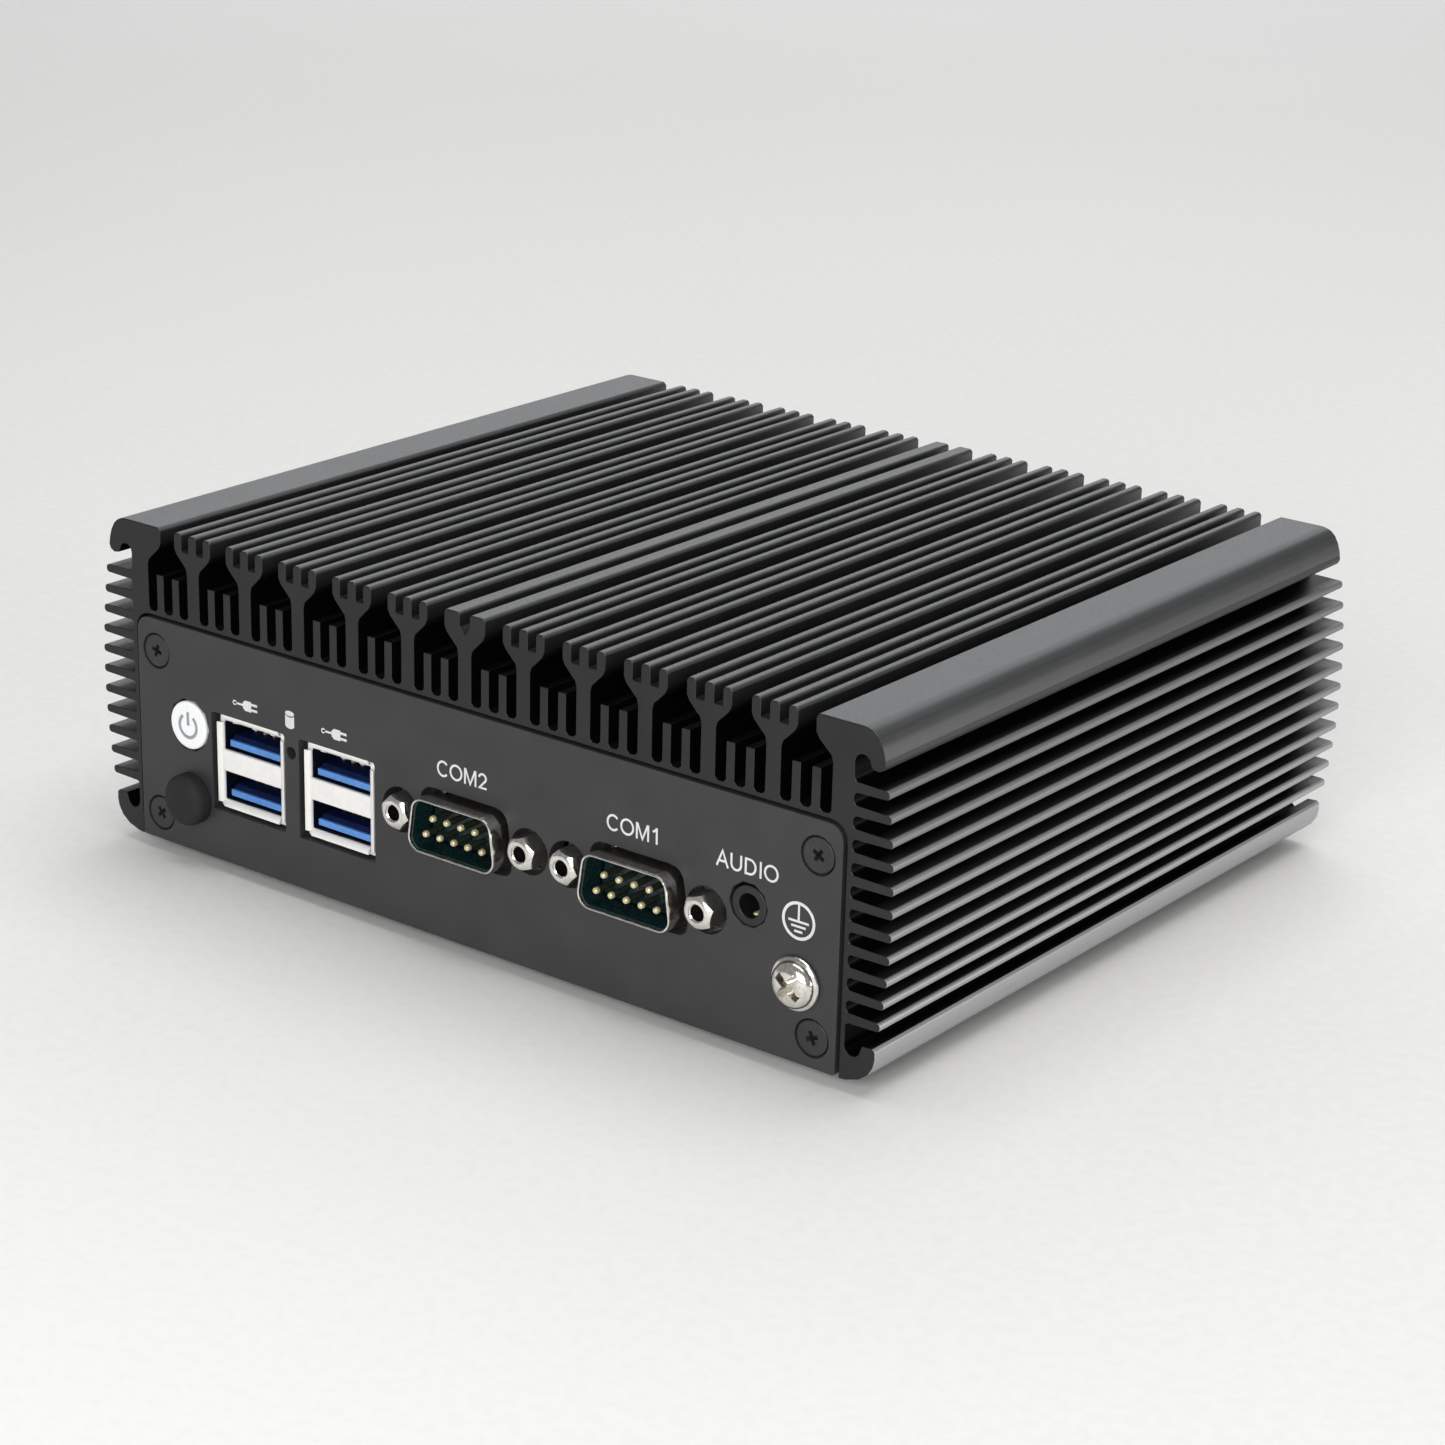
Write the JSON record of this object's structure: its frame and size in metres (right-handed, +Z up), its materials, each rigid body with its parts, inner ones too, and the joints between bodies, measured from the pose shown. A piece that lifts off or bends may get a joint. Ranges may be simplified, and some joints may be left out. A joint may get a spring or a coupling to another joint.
{
  "type": "mini pc",
  "caption": "Fanless mini computer: finned black aluminium case with flat end panels, USB and serial ports, audio jack, white power button and grounding screw.",
  "frame": {"origin": "centre of the bounding box's footprint, on the plane the rubber feet stand on", "axes": "+X to the right as seen from the front, along the case's width; -Y is the front with the power button; +Z up"},
  "size_m": [0.1546, 0.1326, 0.0544],
  "materials": {
    "anodised_case": "fine bead-blasted charcoal-black anodised aluminium",
    "panel_coat": "fine matt charcoal coating with white printed legends",
    "black_screw": "satin black cross-head screws",
    "rubber": "matt black rubber",
    "white_plastic": "smooth white plastic with a faint printed power ring",
    "black_plastic": "satin black plastic",
    "nickel": "bright nickel plating",
    "blue_insert": "satin bright blue plastic",
    "teal_insert": "satin dark teal plastic",
    "lamp": "clear light guide",
    "gold_contact": "gold-plated contacts",
    "legend_ink": "white printed legends",
    "circuit_board": "green solder mask",
    "chip": "dark chip package",
    "heat_block": "machined aluminium",
    "drive_case": "satin metal drive and cell cases"
  },
  "bodies": {
    "case": {"chassis_extrusion": "anodised_case", "front_panel": "panel_coat", "rear_panel": "panel_coat", "bottom_cover": "panel_coat", "front_panel_screw_1": "black_screw", "front_panel_screw_2": "black_screw", "front_panel_screw_3": "black_screw", "front_panel_screw_4": "black_screw", "rear_panel_screw_1": "black_screw", "rear_panel_screw_2": "black_screw", "rear_panel_screw_3": "black_screw", "rear_panel_screw_4": "black_screw", "bottom_cover_screw_1": "black_screw", "bottom_cover_screw_2": "black_screw", "bottom_cover_screw_3": "black_screw", "bottom_cover_screw_4": "black_screw", "rubber_foot_1": "rubber", "rubber_foot_2": "rubber", "rubber_foot_3": "rubber", "rubber_foot_4": "rubber", "antenna_hole_plug_front": "rubber", "antenna_hole_plug_rear": "rubber", "power_switch": "black_plastic", "audio_jack": "black_plastic", "dc_power_inlet": "black_plastic", "memory_socket": "black_plastic", "usb_shell_1": "nickel", "usb_shell_2": "nickel", "com1_shell": "nickel", "com2_shell": "nickel", "vga_shell": "nickel", "ground_screw": "nickel", "hdmi_port": "nickel", "lan_port_1": "nickel", "lan_port_2": "nickel", "com1_jack_screw_left": "nickel", "com1_jack_screw_right": "nickel", "com2_jack_screw_left": "nickel", "com2_jack_screw_right": "nickel", "vga_jack_screw_left": "nickel", "vga_jack_screw_right": "nickel", "board_standoff_1": "nickel", "board_standoff_2": "nickel", "board_standoff_3": "nickel", "board_standoff_4": "nickel", "usb_insert_1": "blue_insert", "usb_insert_2": "blue_insert", "vga_socket_block": "blue_insert", "com1_contact_block": "teal_insert", "com2_contact_block": "teal_insert", "status_lamp": "lamp", "mainboard": "circuit_board", "memory_module": "circuit_board", "wireless_card": "circuit_board", "processor": "chip", "heat_transfer_block": "heat_block", "storage_drive": "drive_case", "coin_cell": "drive_case"},
    "power_key": {"power_button": "white_plastic", "switch_plunger": "black_plastic"}
  },
  "joints": [
    {"name": "power_button_press", "type": "slide", "parent": "case", "child": "power_key", "axis": [0, 1, 0], "range_m": [0, 0.0008], "stiffness_N_per_m": 800}
  ]
}
